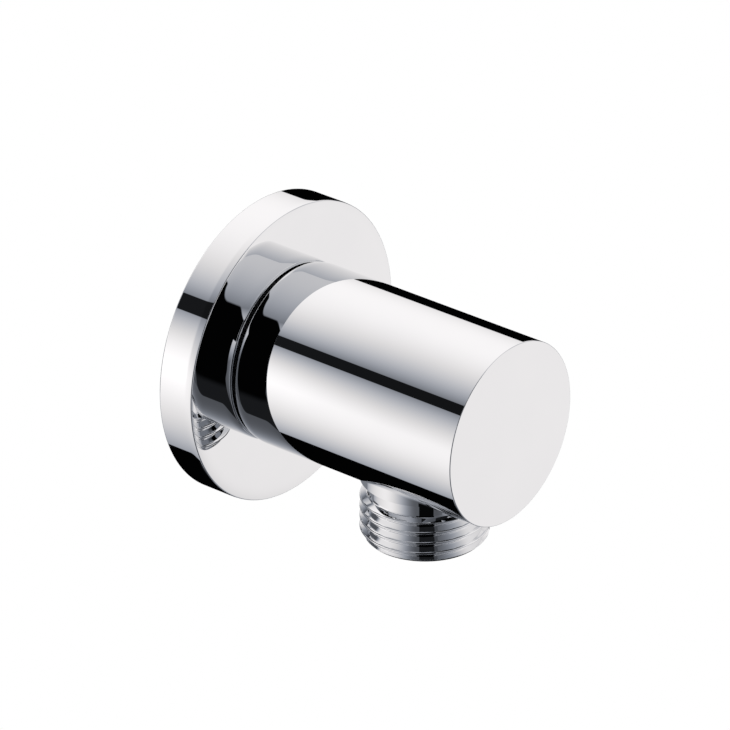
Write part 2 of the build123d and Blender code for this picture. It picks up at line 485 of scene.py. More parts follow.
@dataclass(frozen=True)
class PipeThread:
    """Right-hand half-inch pipe thread with rounded crests and roots, 14 turns to the inch."""

    low: float  # height of its chamfered end
    high: float  # height where its lead cone meets the relief
    phase: float  # share of a turn
    rows_per_pitch: int
    crest: float = 10.4 * MM
    relief: float = 9.25 * MM
    pitch: float = 25.4 / 14.0 * MM
    flank: float = math.radians(27.5)  # half the angle between two flanks
    rounding: float = 0.1373 * 25.4 / 14.0 * MM
    chamfer: float = 0.9 * MM
    lead: float = 0.4 * MM

    def radius(self, angle: np.ndarray, height: np.ndarray) -> np.ndarray:
        """Radius of the cut thread at an angle and a height.

        The distance from the nearest crest gives the depth: an arc at the crest, a straight flank, an arc
        at the root. The chamfer's cone then cuts the thread's end, and the lead's cone its start.

        Args:
            angle, height: arrays that fit one another's shapes.

        Returns:
            Radius at each point.
        """
        turn = height / self.pitch - angle / TAU + self.phase
        away = np.abs(turn - np.round(turn)) * self.pitch
        half = self.pitch / 2.0
        arc = self.rounding * math.cos(self.flank)
        drop = self.rounding * (1.0 - math.sin(self.flank))
        depth = 2.0 * drop + (half - 2.0 * arc) / math.tan(self.flank)
        near = np.minimum(away, arc)
        far = np.minimum(half - away, arc)
        crest_arc = self.rounding - np.sqrt(self.rounding**2 - near**2)
        root_arc = depth - self.rounding + np.sqrt(self.rounding**2 - far**2)
        straight_flank = drop + (away - arc) / math.tan(self.flank)
        cut = np.where(away < arc, crest_arc, np.where(half - away < arc, root_arc, straight_flank))
        end_cone = self.crest - self.chamfer + (height - self.low)
        lead_cone = self.relief + (self.high - height) * (self.crest - self.relief) / self.lead
        return np.maximum(np.minimum(np.minimum(self.crest - cut, end_cone), lead_cone), self.relief)

    def patch(self, spindle: Spindle, angles: np.ndarray) -> Patch:
        """The thread's grid, with its normal (1, -slope round / radius, -slope along) in cylinder axes.

        Args:
            spindle: the thread's axis.
            angles: one column per angle.

        Returns:
            The grid.
        """
        rows = math.ceil((self.high - self.low) / self.pitch * self.rows_per_pitch)
        angle = angles[None, :]
        height = np.linspace(self.low, self.high, rows + 1)[:, None]
        radius = self.radius(angle, height)
        turn_step = SLOPE_STEP / self.crest
        ahead = self.radius(angle + turn_step, height)
        behind = self.radius(angle - turn_step, height)
        above = self.radius(angle, height + SLOPE_STEP)
        below = self.radius(angle, height - SLOPE_STEP)
        around = -(ahead - behind) / (2.0 * turn_step) / radius
        along = -(above - below) / (2.0 * SLOPE_STEP)
        size = np.sqrt(1.0 + around**2 + along**2)
        cosine = np.cos(angle)
        sine = np.sin(angle)
        x = (cosine - around * sine) / size
        y = (sine + around * cosine) / size
        return Patch(spindle.place_round(radius, angle, height), spindle.aim(x, y, along / size))

    def end_edge(self, angles: np.ndarray) -> tuple[np.ndarray, np.ndarray]:
        """Radii and angles of the thread's chamfered end."""
        return self.radius(angles, np.full_like(angles, self.low)), angles


def put_in_scene(name: str, data: bpy.types.ID) -> bpy.types.Object:
    """New object in the scene that shows a mesh, a lamp or a camera.

    Args:
        name: of the object.
        data: what it shows.

    Returns:
        The object.
    """
    made = bpy.data.objects.new(name, data)
    bpy.context.scene.collection.objects.link(made)
    return made


class Shell:
    """Skin of one piece, put together from grids that meet along their edges."""

    def __init__(self, name: str, patches: list[Patch]) -> None:
        """Name the piece and keep its grids."""
        self.name = name
        self.patches = patches

    def quads(self) -> np.ndarray:
        """Corners of every grid's cells, each turned so that it faces along the given normals.

        Returns:
            Four numbers of points for each cell.
        """
        cells = []
        base = 0
        for patch in self.patches:
            rows, columns = patch.points.shape[:2]
            index = base + np.arange(rows * columns).reshape(rows, columns)
            sides = (index[:-1, :-1], index[:-1, 1:], index[1:, 1:], index[1:, :-1])
            cells.append(np.stack(sides, axis=-1).reshape(-1, 4))
            base += rows * columns
        quads = np.concatenate(cells)
        points = self.all_points()[quads]
        facing = np.cross(points[:, 2] - points[:, 0], points[:, 3] - points[:, 1])
        wanted = self.all_normals()[quads].sum(axis=1)
        inward = np.einsum("ij,ij->i", facing, wanted) < 0.0
        quads[inward] = quads[inward, ::-1]
        return quads

    def all_points(self) -> np.ndarray:
        """Points of all grids in one list."""
        return np.concatenate([patch.points.reshape(-1, 3) for patch in self.patches])

    def all_normals(self) -> np.ndarray:
        """Normals of all grids in one list."""
        return np.concatenate([patch.normals.reshape(-1, 3) for patch in self.patches])

    def build(self) -> bpy.types.Object:
        """Weld the grids into one mesh that is shaded by its exact normals.

        Points in the same cell of a fine lattice become one vertex. A corner that repeats the one before
        it is dropped, so that a cell at a pole becomes a triangle.

        Returns:
            The piece's object.
        """
        points = self.all_points()
        lattice = np.floor(points / WELD + WELD_OFFSET).astype(np.int64)
        _, first, welded = np.unique(lattice, axis=0, return_index=True, return_inverse=True)
        quads = self.quads()
        corners = welded.reshape(-1)[quads]
        kept = corners != np.roll(corners, 1, axis=1)
        whole = kept.sum(axis=1) > 2
        corners = corners[whole]
        kept = kept[whole]
        sides = kept.sum(axis=1)
        starts = np.concatenate([[0], np.cumsum(sides)[:-1]])
        normals = self.all_normals()[quads[whole][kept]]
        mesh = bpy.data.meshes.new(self.name)
        mesh.vertices.add(len(first))
        mesh.vertices.foreach_set("co", points[first].astype(np.float32).ravel())
        mesh.loops.add(int(sides.sum()))
        mesh.loops.foreach_set("vertex_index", corners[kept].astype(np.int32))
        mesh.polygons.add(len(sides))
        mesh.polygons.foreach_set("loop_start", starts.astype(np.int32))
        mesh.update(calc_edges=True)
        mesh.polygons.foreach_set("use_smooth", np.ones(len(sides), dtype=bool))
        mesh.normals_split_custom_set(normals.astype(np.float32))
        return put_in_scene(self.name, mesh)


# Finishes


class Blend(Enum):
    """Kinds of mix node: data type, numbers of the two inputs, number of the output."""

    NUMBER = ("FLOAT", 2, 3, 0)
    COLOR = ("RGBA", 6, 7, 2)


class Wiring:
    """Small helper that adds nodes to a tree and links them."""

    def __init__(self, holder: bpy.types.Material | bpy.types.World | bpy.types.NodeTree) -> None:
        """Keep a group's tree, or the emptied tree of a material or a world.

        Args:
            holder: the group, material or world.
        """
        self.tree = holder
        if not isinstance(holder, bpy.types.NodeTree):
            holder.use_nodes = True
            self.tree = holder.node_tree
            self.tree.nodes.clear()

    def node(
        self, kind: str, inputs: dict[str | int, Value] | None = None, **settings: object
    ) -> bpy.types.Node:
        """Add a node.

        Args:
            kind: the node's type name.
            inputs: what each input socket holds or is linked to.
            settings: the node's own properties.

        Returns:
            The node.
        """
        made = self.tree.nodes.new(kind)
        for name, setting in settings.items():
            setattr(made, name, setting)
        for key, value in (inputs or {}).items():
            if isinstance(value, bpy.types.NodeSocket):
                self.tree.links.new(value, made.inputs[key])
            else:
                made.inputs[key].default_value = value
        return made

    def math(self, operation: str, first: Value, second: Value = 0.0, third: Value = 0.0) -> Socket:
        """Output of a math node."""
        inputs = {0: first, 1: second, 2: third}
        return self.node("ShaderNodeMath", inputs, operation=operation).outputs[0]

    def product(self, first: Value, *others: Value) -> Socket:
        """Values multiplied with one another in order.

        Args:
            first, others: the values.

        Returns:
            The product.
        """
        for value in others:
            first = self.math("MULTIPLY", first, value)
        return first

    def mix(self, blend: Blend, share: Value, first: Value, second: Value) -> Socket:
        """First value where share is 0, second where share is 1, and evenly between.

        Args:
            blend: what is mixed.
            share: share of the second value.
            first, second: the values.

        Returns:
            The mixed value.
        """
        kind, low, high, result = blend.value
        inputs = {"Factor": share, low: first, high: second}
        return self.node("ShaderNodeMix", inputs, data_type=kind).outputs[result]

    def smooth(
        self, value: Value, start: Value, end: Value, low: Value = 0.0, high: Value = 1.0
    ) -> Socket:
        """Value moved from the range start..end to low..high in a smooth step."""
        inputs = {"Value": value, "From Min": start, "From Max": end, "To Min": low, "To Max": high}
        return self.node("ShaderNodeMapRange", inputs, interpolation_type="SMOOTHSTEP").outputs["Result"]

    def band(self, value: Value, limits: Limits) -> Socket:
        """One between the inner two limits, none outside the outer two, in smooth steps."""
        rise = self.smooth(value, limits[0], limits[1])
        return self.product(rise, self.smooth(value, limits[3], limits[2]))

    def degrees_from(self, angle: Socket, middle: float) -> Socket:
        """Degrees from middle to angle, the shorter way round."""
        return self.math("WRAP", self.math("SUBTRACT", angle, middle), HALF_TURN, -HALF_TURN)

    def seen_plainly(self, path: bpy.types.NodeOutputs) -> Socket:
        """One for what the camera sees straight or through glass, from the outputs of Light Path."""
        return self.math("MAXIMUM", path["Is Camera Ray"], path["Is Transmission Ray"])


def variation_group() -> bpy.types.NodeTree:
    """Node group that lets a finish vary softly over a piece, built once.

    Noise between 0 and 1 mixes the two colours, the two roughnesses, and is put out as a height.

    Returns:
        The group, with named inputs and outputs.
    """
    name = "soft_variation"
    if name in bpy.data.node_groups:
        return bpy.data.node_groups[name]
    group = bpy.data.node_groups.new(name, "ShaderNodeTree")
    for label, kind in (
        ("Vector", "NodeSocketVector"),
        ("Scale", "NodeSocketFloat"),
        ("Detail", "NodeSocketFloat"),
        ("First Color", "NodeSocketColor"),
        ("Second Color", "NodeSocketColor"),
        ("First Roughness", "NodeSocketFloat"),
        ("Second Roughness", "NodeSocketFloat"),
    ):
        group.interface.new_socket(label, in_out="INPUT", socket_type=kind)
    for label, kind in (
        ("Color", "NodeSocketColor"),
        ("Roughness", "NodeSocketFloat"),
        ("Height", "NodeSocketFloat"),
    ):
        group.interface.new_socket(label, in_out="OUTPUT", socket_type=kind)
    wiring = Wiring(group)
    given = wiring.node("NodeGroupInput").outputs
    noise = wiring.node(
        "ShaderNodeTexNoise",
        {"Vector": given["Vector"], "Scale": given["Scale"], "Detail": given["Detail"]},
    ).outputs["Fac"]
    share = wiring.smooth(noise, *NOISE_SPAN)
    color = wiring.mix(Blend.COLOR, share, given["First Color"], given["Second Color"])
    roughness = wiring.smooth(share, 0.0, 1.0, given["First Roughness"], given["Second Roughness"])
    wiring.node("NodeGroupOutput", {"Color": color, "Roughness": roughness, "Height": share})
    return group


@dataclass(frozen=True)
class Finish:
    """Finish that varies softly between two colours and two roughnesses."""

    name: str
    slot: Slot
    colors: tuple[Vector3, Vector3]
    roughness: tuple[float, float]
    scale: float  # of the variation, per metre
    detail: float = 2.0
    metallic: float = 0.0
    bump: float = 0.0  # height of the surface's grain

    def coordinates(self, wiring: Wiring) -> Socket:
        """Where on the piece the variation is read."""
        return wiring.node("ShaderNodeTexCoord").outputs["Object"]

    def material(self) -> bpy.types.Material:
        """The finish as a material, made once.

        Returns:
            The material.
        """
        if self.name in bpy.data.materials:
            return bpy.data.materials[self.name]
        material = bpy.data.materials.new(self.name)
        wiring = Wiring(material)
        inputs = {
            "Vector": self.coordinates(wiring),
            "Scale": self.scale,
            "Detail": self.detail,
            "First Color": (*self.colors[0], 1.0),
            "Second Color": (*self.colors[1], 1.0),
            "First Roughness": self.roughness[0],
            "Second Roughness": self.roughness[1],
        }
        varied = wiring.node("ShaderNodeGroup", inputs, node_tree=variation_group()).outputs
        surface = {
            "Base Color": varied["Color"],
            "Roughness": varied["Roughness"],
            "Metallic": self.metallic,
        }
        if self.bump:
            grain = {"Height": varied["Height"], "Distance": self.bump}
            surface["Normal"] = wiring.node("ShaderNodeBump", grain).outputs["Normal"]
        shader = wiring.node("ShaderNodeBsdfPrincipled", surface)
        wiring.node("ShaderNodeOutputMaterial", {"Surface": shader.outputs["BSDF"]})
        return material


@dataclass(frozen=True)
class DrawnWire(Finish):
    """Metal wire whose fine draw lines run along it."""

    stretch: float = 0.02  # of the noise along the wire

    def coordinates(self, wiring: Wiring) -> Socket:
        """The wire's own map, drawn out along its length.

        Args:
            wiring: the material's nodes.

        Returns:
            The drawn-out place.
        """
        wire = wiring.node("ShaderNodeUVMap", uv_map=WIRE_MAP).outputs["UV"]
        drawn = wiring.node("ShaderNodeMapping", {"Vector": wire, "Scale": (self.stretch, 1.0, 1.0)})
        return drawn.outputs["Vector"]


CHROME = Finish(
    "mirror_chrome",
    Slot.CHROME,
    colors=((0.872, 0.878, 0.886), (0.884, 0.889, 0.896)),
    roughness=(0.002, 0.0036),
    scale=90.0,
    metallic=1.0,
)
RUBBER = Finish(
    "black_rubber",
    Slot.RUBBER,
    colors=((0.024, 0.024, 0.026), (0.04, 0.04, 0.042)),
    roughness=(0.42, 0.58),
    scale=900.0,
    detail=4.0,
    bump=0.004 * MM,
)
WHITE_ACETAL = Finish(
    "white_acetal",
    Slot.WHITE_PLASTIC,
    colors=((0.8, 0.8, 0.77), (0.84, 0.84, 0.81)),
    roughness=(0.3, 0.42),
    scale=500.0,
    detail=3.0,
    bump=0.002 * MM,
)
BLUE_ACETAL = Finish(
    "blue_acetal",
    Slot.BLUE_PLASTIC,
    colors=((0.11, 0.19, 0.35), (0.13, 0.22, 0.38)),
    roughness=(0.28, 0.4),
    scale=500.0,
    detail=3.0,
    bump=0.002 * MM,
)
SPRING_STEEL = DrawnWire(
    "drawn_wire",
    Slot.STEEL,
    colors=((0.56, 0.55, 0.53), (0.68, 0.67, 0.65)),
    roughness=(0.2, 0.34),
    scale=60.0,
    detail=3.0,
    metallic=1.0,
)


def fit(shell: Shell, finish: Finish, node: str, body: Body) -> bpy.types.Object:
    """Build a piece, give it its finish, and let it stand for a solid.

    Args:
        shell: the piece's skin.
        finish: its finish.
        node: the solid that it replaces.
        body: the body that it moves with.

    Returns:
        The piece.
    """
    piece = shell.build()
    piece.data.materials.append(finish.material())
    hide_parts(node)
    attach(piece, body.value)
    return piece


# Sub-assemblies


@dataclass(frozen=True)
class ElbowBody:
    """Chromed brass elbow: round body, hose nipple below, inlet spigot behind, waterways inside."""

    columns: int = 256
    bore_columns: int = 224
    spigot_columns: int = 168
    radius: float = 15.25 * MM
    front: float = 50.6 * MM
    front_round: float = 0.16 * MM
    rear_round: float = 0.45 * MM
    rear_buff: Buff = Buff(2.3 * MM, 0.24)
    shoulder: float = 7.05 * MM
    ring_floor: float = 8.2 * MM
    ring_groove_radius: float = 13.9 * MM
    collar_radius: float = 12.0 * MM
    collar_lead: float = 0.4 * MM
    collar_back: float = 4.4 * MM
    neck_radius: float = 10.4 * MM
    ledge: float = -13.15 * MM  # where the neck ends and the nipple's relief starts
    nipple_end: float = -23.5 * MM
    thread_top: float = -15.7 * MM  # where the nipple's relief ends
    spigot_end: float = -10.0 * MM
    spigot_top: float = 3.2 * MM
    inlet_radius: float = 6.5 * MM
    inlet_countersink: float = 0.5 * MM
    drill_end: float = 39.7 * MM
    drill_point: float = math.radians(118.0)
    valve_radius: float = 7.55 * MM
    valve_top: float = -7.6 * MM
    throat_radius: float = 5.5 * MM
    mouth_chamfer: float = 0.3 * MM
    outlet_phase: float = 0.517
    neck_steps: int = 42  # of half a neck arc in the hole's edge
    edge_steps: int = 4  # of each straight edge between neck and relief
    window: PiercedWall = PiercedWall(
        radius,
        columns,
        half_angle=math.radians(45.0),
        half_length=10.9 * MM,
        rows=10,
        inside=False,
    )
    throat_window: PiercedWall = PiercedWall(
        inlet_radius,
        spigot_columns,
        half_angle=math.radians(60.0),
        half_length=5.9 * MM,
        rows=8,
        inside=True,
    )

    def outlet_thread(self) -> PipeThread:
        """Thread of the hose nipple."""
        return PipeThread(self.nipple_end, self.thread_top, self.outlet_phase, rows_per_pitch=24)

    def inlet_thread(self) -> PipeThread:
        """Thread of the inlet spigot."""
        return PipeThread(self.spigot_end, self.spigot_top, phase=0.0, rows_per_pitch=12)

    def underside(self, x: np.ndarray) -> np.ndarray:
        """Height of the body's underside at x: minus the root of (radius squared - x squared)."""
        return -np.sqrt(self.radius**2 - x**2)

    def ledge_reach(self) -> float:
        """Distance from the middle at which the ledge meets the body's underside."""
        return math.sqrt(self.radius**2 - self.ledge**2)

    def hole_angles(self) -> tuple[float, float]:
        """Angles at which the neck and the relief meet the end of the ledge."""
        reach = self.ledge_reach()
        return math.acos(reach / self.neck_radius), math.acos(reach / self.outlet_thread().relief)

    def hole(self) -> tuple[np.ndarray, np.ndarray]:
        """Edge of the nipple's hole in the body, seen from below.

        It is the neck's arc at the two sides, the relief's arc in front and behind, and straight along
        the ends of the ledge between them.

        Returns:
            The edge's points across and aside of the outlet axis, from the +x side round.
        """
        neck, relief = self.hole_angles()
        quarter = self.columns // 4
        straight_end = self.neck_steps + self.edge_steps
        knots = [0, self.neck_steps, straight_end]
        turns = [0.0, neck, relief]
        mirrored = [2 * quarter - knot for knot in reversed(knots)]
        mirrored_turns = [math.pi - turn for turn in reversed(turns)]
        half_knots = knots + mirrored
        half_turns = turns + mirrored_turns
        all_knots = half_knots + [2 * quarter + knot for knot in half_knots[1:]]
        all_turns = half_turns + [math.pi + turn for turn in half_turns[1:]]
        steps = np.arange(self.columns + 1)
        angle = np.interp(steps, all_knots, all_turns)
        place = np.abs((steps + quarter) % (2 * quarter) - quarter)
        reach = self.ledge_reach() / np.abs(np.cos(angle))
        relief_radius = self.outlet_thread().relief
        radius = np.maximum(reach, relief_radius)
        radius = np.where(place <= self.neck_steps, self.neck_radius, radius)
        radius = np.where(place >= straight_end, relief_radius, radius)
        return radius * np.cos(angle), radius * np.sin(angle)

    def relief_angles(self) -> np.ndarray:
        """Angles of the relief's columns, which match the hole's edge and the ledges' inner arcs.

        Returns:
            The angles, from the +x side right round.
        """
        _, relief = self.hole_angles()
        half_ledge = self.neck_steps - self.edge_steps
        open_steps = self.columns // 2 - 2 * (self.neck_steps + self.edge_steps)
        knots = np.cumsum([0, half_ledge, open_steps, 2 * half_ledge, open_steps, half_ledge])
        turns = [0.0, relief, math.pi - relief, math.pi + relief, TAU - relief, TAU]
        return np.interp(np.arange(knots[-1] + 1), knots, turns)

    def lug_patches(self, middle: float) -> list[Patch]:
        """Neck and ledge on one side of the nipple, where the body's underside curves away from it.

        Args:
            middle: angle of that side.

        Returns:
            The neck's wall, from the ledge up to the underside, and the ledge, which faces down.
        """
        neck, relief = self.hole_angles()
        angles = middle + np.linspace(-neck, neck, 2 * self.neck_steps + 1)
        rise = self.underside(self.neck_radius * np.cos(angles))
        wall = drum(OUTLET, self.neck_radius, self.ledge, np.maximum(rise, self.ledge), angles, rows=2)
        knots = [0, self.edge_steps, 2 * self.neck_steps - self.edge_steps, 2 * self.neck_steps]
        turns = np.interp(np.arange(2 * self.neck_steps + 1), knots, [-neck, -relief, relief, neck])
        relief_radius = self.outlet_thread().relief
        inner_radius = np.maximum(self.ledge_reach() / np.cos(turns), relief_radius)
        inner_radius = np.where(np.abs(turns) <= relief, relief_radius, inner_radius)
        x = np.stack([inner_radius * np.cos(middle + turns), self.neck_radius * np.cos(angles)])
        y = np.stack([inner_radius * np.sin(middle + turns), self.neck_radius * np.sin(angles)])
        return [wall, flat(OUTLET, x, y, self.ledge, -1.0)]

    def nipple_patches(self) -> list[Patch]:
        """Hose nipple: neck lugs, relief groove, thread and end.

        Returns:
            Its grids.
        """
        thread = self.outlet_thread()
        angles = self.relief_angles()
        x = thread.relief * np.cos(angles)
        rise = np.minimum(self.underside(x), self.ledge)
        relief = drum(OUTLET, thread.relief, self.thread_top, rise, angles, rows=3)
        even = circle(self.bore_columns)
        mouth = np.full_like(even, self.valve_radius + self.mouth_chamfer)
        end = ring(OUTLET, self.nipple_end, (mouth, even), thread.end_edge(angles), -1.0)
        lugs = self.lug_patches(0.0) + self.lug_patches(math.pi)
        return [relief, thread.patch(OUTLET, angles), end, *lugs]

    def valve_bore_patches(self) -> list[Patch]:
        """Stepped bore of the nipple, up to the inlet's bore.

        Returns:
            Its grids.
        """
        step = [
            Corner(self.throat_radius, self.valve_top),
            Corner(self.valve_radius, self.valve_top),
            Corner(self.valve_radius, self.nipple_end + self.mouth_chamfer),
            Corner(self.valve_radius + self.mouth_chamfer, self.nipple_end),
        ]
        angles = circle(self.bore_columns)
        x = self.throat_radius * np.cos(angles)
        rise = -np.sqrt(self.inlet_radius**2 - x**2)
        throat = drum(OUTLET, self.throat_radius, self.valve_top, rise, angles, rows=2, inside=True)
        return [throat, *lathe(OUTLET, step, angles)]

    def inlet_patches(self) -> list[Patch]:
        """Inlet spigot with its thread, and the drilled bore that ends past the throat.

        Returns:
            Their grids.
        """
        window = self.throat_window
        angles = window.angles()
        turns = circle(self.bore_columns)
        pierced = window.patches(self.throat_radius * np.cos(turns), self.throat_radius * np.sin(turns))
        start = self.spigot_end + self.inlet_countersink
        tip = self.drill_end + self.inlet_radius / math.tan(self.drill_point / 2.0)
        near, far = window.reach()
        drilled = [
            Corner(0.0, tip),
            Corner(self.inlet_radius, self.drill_end),
            Corner(self.inlet_radius, far),
        ]
        entry = [
            Corner(self.inlet_radius, near),
            Corner(self.inlet_radius, start),
            Corner(self.inlet_radius + self.inlet_countersink, self.spigot_end),
        ]
        walls = lathe(INLET, drilled, angles) + lathe(INLET, entry, angles)
        thread = self.inlet_thread()
        around = circle(self.spigot_columns)
        mouth = np.full_like(around, self.inlet_radius + self.inlet_countersink)
        end = ring(INLET, self.spigot_end, (mouth, around), thread.end_edge(around), -1.0)
        relief = drum(INLET, thread.relief, self.spigot_top, self.collar_back, around)
        return [*pierced, *walls, thread.patch(INLET, around), end, relief]

    def outside_patches(self) -> list[Patch]:
        """Collar, groove for the rubber ring, shoulder, round body and flat front face.

        Returns:
            Their grids.
        """
        angles = self.window.angles()
        near, far = self.window.reach()
        collar_edge = self.collar_radius - self.collar_lead
        rear = [
            Corner(collar_edge, self.collar_back),
            Corner(self.collar_radius, self.collar_back + self.collar_lead),
            Corner(self.collar_radius, self.ring_floor),
            Corner(self.ring_groove_radius, self.ring_floor),
            Corner(self.ring_groove_radius, self.shoulder),
            Corner(self.radius, self.shoulder, self.rear_round, after=self.rear_buff),
            Corner(self.radius, near),
        ]
        front = [
            Corner(self.radius, far),
            Corner(self.radius, self.front, self.front_round),
            Corner(0.0, self.front),
        ]
        walls = lathe(INLET, rear, angles) + lathe(INLET, front, angles)
        around = circle(self.spigot_columns)
        relief_edge = np.full_like(around, self.inlet_thread().relief)
        even = circle(self.columns)
        outer_edge = np.full_like(even, collar_edge)
        back = ring(INLET, self.collar_back, (relief_edge, around), (outer_edge, even), -1.0)
        return [*walls, *self.window.patches(*self.hole()), back]

    def build(self) -> list[bpy.types.Object]:
        """Build and dress the elbow.

        Returns:
            The elbow alone.
        """
        patches = [
            *self.outside_patches(),
            *self.nipple_patches(),
            *self.valve_bore_patches(),
            *self.inlet_patches(),
        ]
        return [fit(Shell("chrome_elbow", patches), CHROME, "elbow_body", Body.ELBOW)]


@dataclass(frozen=True)
class WallFlange:
    """Chromed wall flange and the rubber ring that seals the body to it."""

    columns: int = 256
    radius: float = 25.1 * MM
    depth: float = 6.7 * MM
    wall: float = 1.2 * MM
    hole_radius: float = 12.1 * MM
    face_round: float = 0.2 * MM
    face_buff: Buff = Buff(3.0 * MM, 0.12)
    rim_buff: Buff = Buff(1.8 * MM, 0.1)
    rim_round: float = 0.3 * MM
    inside_round: float = 0.5 * MM
    ring_columns: int = 128
    ring_inner: float = 12.1 * MM
    ring_outer: float = 13.8 * MM
    ring_top: float = 8.2 * MM
    ring_round: float = 0.5 * MM
    ring_heel: float = 0.15 * MM

    def build_flange(self) -> bpy.types.Object:
        """Flat-faced cup, open towards the wall.

        Returns:
            The flange.
        """
        plate_back = self.depth - self.wall
        inside = self.radius - self.wall
        outline = [
            Corner(inside, plate_back, self.inside_round),
            Corner(inside, 0.0, self.rim_round),
            Corner(self.radius, 0.0, self.rim_round),
            Corner(self.radius, self.depth, self.face_round, self.rim_buff, self.face_buff),
            Corner(self.hole_radius, self.depth),
            Corner(self.hole_radius, plate_back),
        ]
        shell = Shell("chrome_flange", lathe(INLET, outline, circle(self.columns), True))
        return fit(shell, CHROME, "wall_flange", Body.ELBOW)

    def build_ring(self) -> bpy.types.Object:
        """Rubber ring in the body's shoulder.

        Returns:
            The ring.
        """
        low = (self.ring_inner, self.depth)
        high = (self.ring_outer, self.ring_top)
        outline = hoop(low, high, self.ring_heel, self.ring_round)
        shell = Shell("rubber_flange_ring", lathe(INLET, outline, circle(self.ring_columns), True))
        return fit(shell, RUBBER, "flange_o_ring", Body.ELBOW)

    def build(self) -> list[bpy.types.Object]:
        """Build and dress the flange and its ring."""
        return [self.build_flange(), self.build_ring()]


@dataclass(frozen=True)
class ValveCartridge:
    """Non-return valve in the nipple: seat sleeve, spoked cage, sprung plug and rubber rings."""

    columns: int = 128
    edge: float = 0.15 * MM  # rounding of moulded edges
    bore_radius: float = 7.55 * MM
    radius: float = 7.5 * MM
    top: float = -7.6 * MM
    entry: float = 0.5 * MM
    passage_radius: float = 4.6 * MM
    groove_radius: float = 6.3 * MM
    groove_top: float = -9.0 * MM
    groove_bottom: float = -10.9 * MM
    groove_room: float = 0.1 * MM
    ring_room: float = 0.02 * MM
    ring_round: float = 0.5 * MM
    skirt_top: float = -11.8 * MM
    skirt_radius: float = 6.8 * MM
    socket_radius: float = 6.85 * MM
    sleeve_bottom: float = -13.2 * MM
    seat_depth: float = 1.2 * MM
    cage_inner: float = 6.5 * MM
    cage_bottom: float = -22.0 * MM
    cage_chamfer: float = 0.3 * MM
    spoke_count: int = 4
    spoke_half: float = 0.6 * MM
    spoke_top: float = -20.4 * MM
    spoke_steps: int = 4
    gap_steps: int = 36
    hub_radius: float = 2.4 * MM
    hub_bore: float = 1.35 * MM
    travel: float = 3.0 * MM
    hub_room: float = 0.5 * MM
    seal_radius: float = 0.65 * MM
    seal_room: float = 0.08 * MM
    head_thickness: float = 1.0 * MM
    flow_gap: float = 1.1 * MM
    nose_gap: float = 0.25 * MM
    nose_land: float = 0.6 * MM
    nose_height: float = 2.2 * MM
    nose_tip: float = 1.5 * MM
    nose_round: float = 1.0 * MM
    stem_radius: float = 1.27 * MM
    guided: float = 1.6 * MM
    wire_radius: float = 0.25 * MM
    wire_sides: int = 16
    coil_radius: float = 3.15 * MM
    coil_turns: int = 3
    coil_steps: int = 60  # per turn
    spring_room: float = 0.03 * MM

    def seal_middle(self) -> float:
        """Height of the plug's ring, which rests on the 45-degree seat."""
        seat_top = self.sleeve_bottom + self.seat_depth
        return seat_top - math.sqrt(2.0) * (self.seal_radius + self.seal_room)

    def head_bottom(self) -> float:
        """Height of the underside of the plug's head, where the spring presses."""
        return self.seal_middle() - self.seal_radius - self.ring_room - self.head_thickness

    def hub_top(self) -> float:
        """Height of the guide hub, clear of the open plug."""
        return self.head_bottom() - self.travel - self.hub_room

    def build_sleeve(self) -> bpy.types.Object:
        """Inlet half: ring groove outside, waterway and conical seat inside.

        Returns:
            The sleeve.
        """
        outline = [
            Corner(self.passage_radius, self.top - self.entry, self.edge),
            Corner(self.passage_radius + self.entry, self.top, self.edge),
            Corner(self.radius, self.top, self.edge),
            Corner(self.radius, self.groove_top, self.edge),
            Corner(self.groove_radius, self.groove_top),
            Corner(self.groove_radius, self.groove_bottom),
            Corner(self.radius, self.groove_bottom, self.edge),
            Corner(self.radius, self.skirt_top),
            Corner(self.skirt_radius, self.skirt_top),
            Corner(self.skirt_radius, self.sleeve_bottom, self.edge),
            Corner(self.passage_radius + self.seat_depth, self.sleeve_bottom, self.edge),
            Corner(self.passage_radius, self.sleeve_bottom + self.seat_depth, self.edge),
        ]
        outline.reverse()
        shell = Shell("valve_seat_sleeve", lathe(OUTLET, outline, circle(self.columns), True))
        return fit(shell, WHITE_ACETAL, "valve_sleeve", Body.ELBOW)

    def build_bore_ring(self) -> bpy.types.Object:
        """Rubber ring between the sleeve's groove and the nipple's bore.

        Returns:
            The ring.
        """
        low = (self.groove_radius + self.ring_room, self.groove_bottom + self.groove_room)
        high = (self.bore_radius - self.ring_room, self.groove_top - self.groove_room)
        outline = hoop(low, high, self.edge, self.ring_round)
        shell = Shell("rubber_bore_ring", lathe(OUTLET, outline, circle(self.columns), True))
        return fit(shell, RUBBER, "valve_o_ring", Body.ELBOW)

    def spoke_width(self) -> np.ndarray:
        """Even steps across a spoke, from its middle line."""
        return np.linspace(-self.spoke_half, self.spoke_half, self.spoke_steps + 1)

    def spoked_angles(self, radius: float) -> np.ndarray:
        """Angles of the columns round the ring or the hub, which fall on the sides of every spoke.

        Over a spoke the columns are evenly spaced across its width; over a gap they are evenly turned.

        Args:
            radius: of the wall.

        Returns:
            The angles, from one side of the first spoke right round.
        """
        over_spoke = np.arcsin(self.spoke_width() / radius)
        pitch = TAU / self.spoke_count
        over_gap = np.linspace(over_spoke[-1], over_spoke[0] + pitch, self.gap_steps + 1)[1:-1]
        once = np.concatenate([over_spoke, over_gap])
        turns = pitch * np.arange(self.spoke_count)
        return np.concatenate([np.add.outer(turns, once).ravel(), [once[0] + TAU]])

    def gap_angles(self, radius: float, index: int) -> np.ndarray:
        """Angles of the columns over one gap between spokes.

        Args:
            radius: of the wall.
            index: which gap.

        Returns:
            The angles, from one spoke's side to the next's.
        """
        once = self.spoke_steps + self.gap_steps
        start = index * once + self.spoke_steps
        return self.spoked_angles(radius)[start : start + self.gap_steps + 1]

